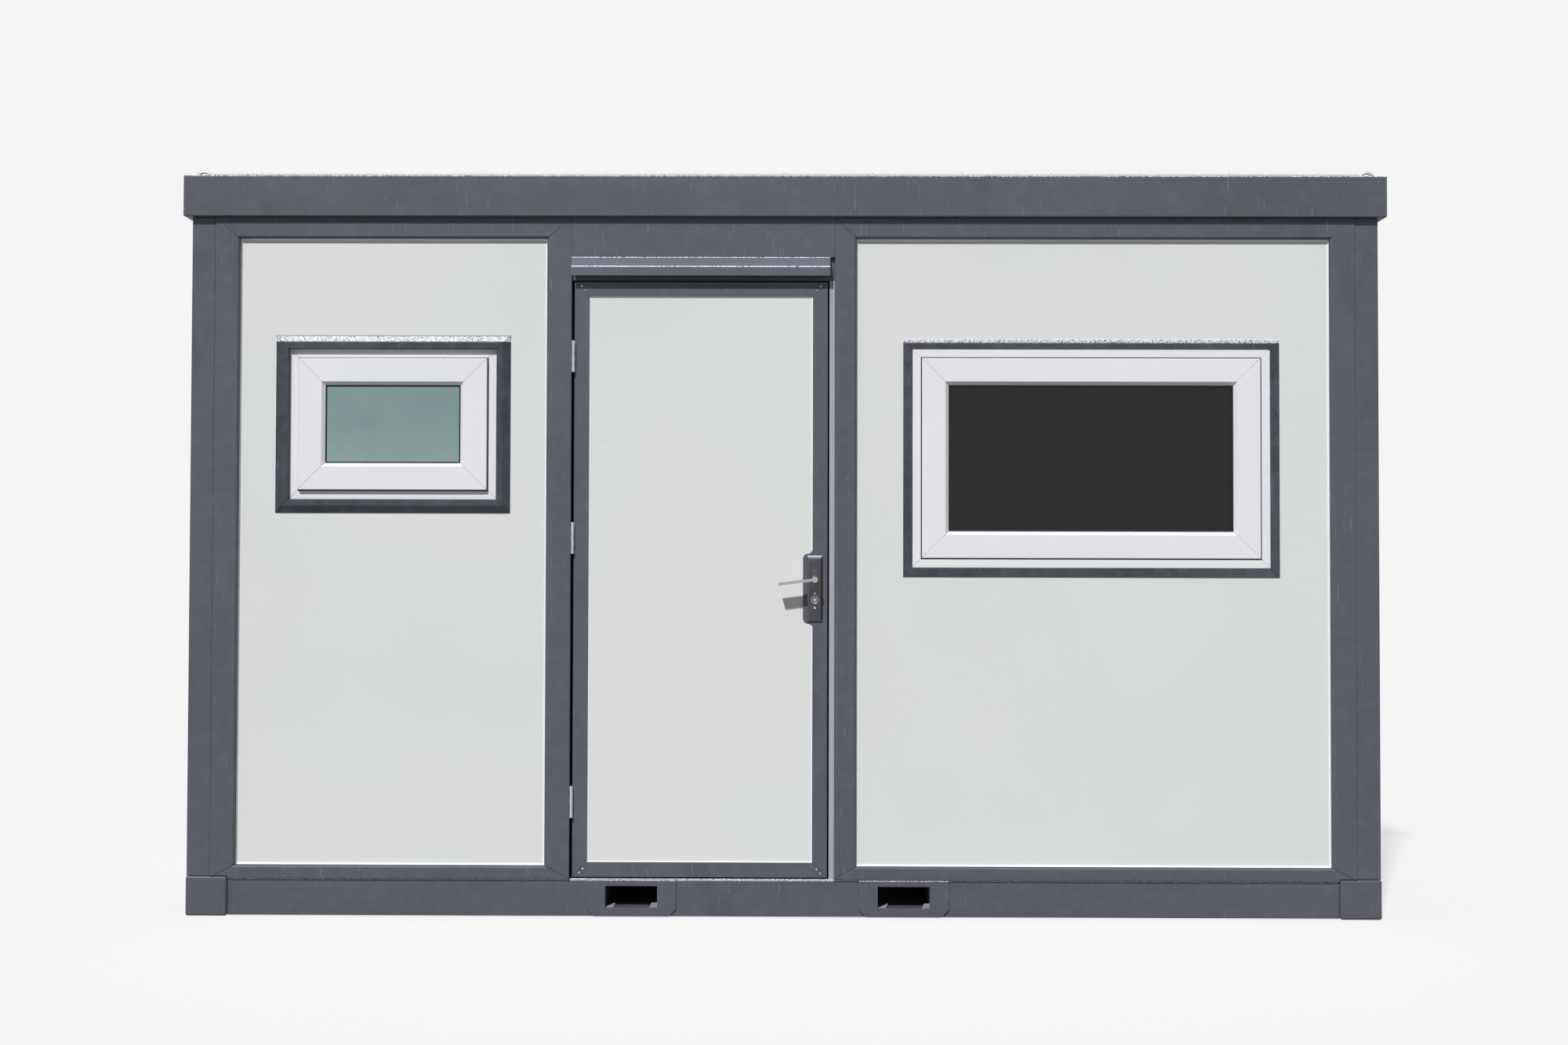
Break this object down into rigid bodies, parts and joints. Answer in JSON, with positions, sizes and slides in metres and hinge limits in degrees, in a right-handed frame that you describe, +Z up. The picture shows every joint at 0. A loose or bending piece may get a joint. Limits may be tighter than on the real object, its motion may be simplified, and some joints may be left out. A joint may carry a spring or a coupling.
{
  "type": "portable office cabin",
  "caption": "Steel-framed portable cabin with white wall boards, an outward-opening door under a rain hood, a frosted window, a large window, fork pockets and lifting eyes.",
  "frame": {"origin": "ground level under the middle of the cabin", "axes": "+X runs along the front to the right, the door and windows face -Y, +Z is up"},
  "size_m": [4.05, 2.475, 2.5239],
  "materials": {
    "dark_frame_paint": "satin",
    "pale_steel": "satin",
    "white_board": "matte",
    "white_upvc": "semi-gloss",
    "frosted_glass": "frosted",
    "clear_glass": "gloss",
    "lock_metal": "brushed",
    "bright_metal": "satin",
    "roof_sheet": "satin",
    "floor_board": "matte"
  },
  "bodies": {
    "cabin": {"corner_blocks": "dark_frame_paint", "base_beams": "dark_frame_paint", "floor_joists": "dark_frame_paint", "fork_pocket_left": "dark_frame_paint", "fork_pocket_right": "dark_frame_paint", "floor_deck": "floor_board", "corner_posts": "dark_frame_paint", "front_left_surround": "dark_frame_paint", "front_right_surround": "dark_frame_paint", "front_left_board": "white_board", "front_middle_board": "white_board", "front_right_board": "white_board", "left_wall_surround": "dark_frame_paint", "left_wall_boards": "white_board", "right_wall_surround": "dark_frame_paint", "right_wall_boards": "white_board", "back_wall_surround": "dark_frame_paint", "back_wall_boards": "white_board", "lintel": "dark_frame_paint", "door_hood": "dark_frame_paint", "door_head": "dark_frame_paint", "door_latch_jamb": "pale_steel", "door_stops": "dark_frame_paint", "door_threshold": "pale_steel", "door_hinges_fixed": "bright_metal", "small_window_trim": "dark_frame_paint", "small_window_frame": "white_upvc", "small_window_sash": "white_upvc", "small_window_glass": "frosted_glass", "large_window_trim": "dark_frame_paint", "large_window_frame": "white_upvc", "large_window_sash": "white_upvc", "large_window_glass": "clear_glass", "roof_beams": "dark_frame_paint", "roof_sheet": "roof_sheet", "ceiling_panel": "white_board", "lifting_eyes": "dark_frame_paint"},
    "door": {"door_panel": "white_board", "door_edge_frame": "dark_frame_paint", "door_hinges_moving": "bright_metal", "lock_plate_outside": "lock_metal", "lock_plate_inside": "lock_metal", "key_cylinder": "bright_metal"},
    "lever": {"lever_outside": "bright_metal", "lever_inside": "bright_metal"}
  },
  "joints": [
    {"name": "door_swing", "type": "hinge", "parent": "cabin", "child": "door", "pos_m": [-0.7097, -1.195, 1.13], "axis": [0, 0, -1], "range_deg": [0, 110]},
    {"name": "lever_turn", "type": "hinge", "parent": "door", "child": "lever", "pos_m": [0.107, -1.25, 1.1315], "axis": [0, -1, 0], "range_deg": [0, 45], "stiffness_Nm_per_rad": 2, "springref_deg": -22.92}
  ]
}
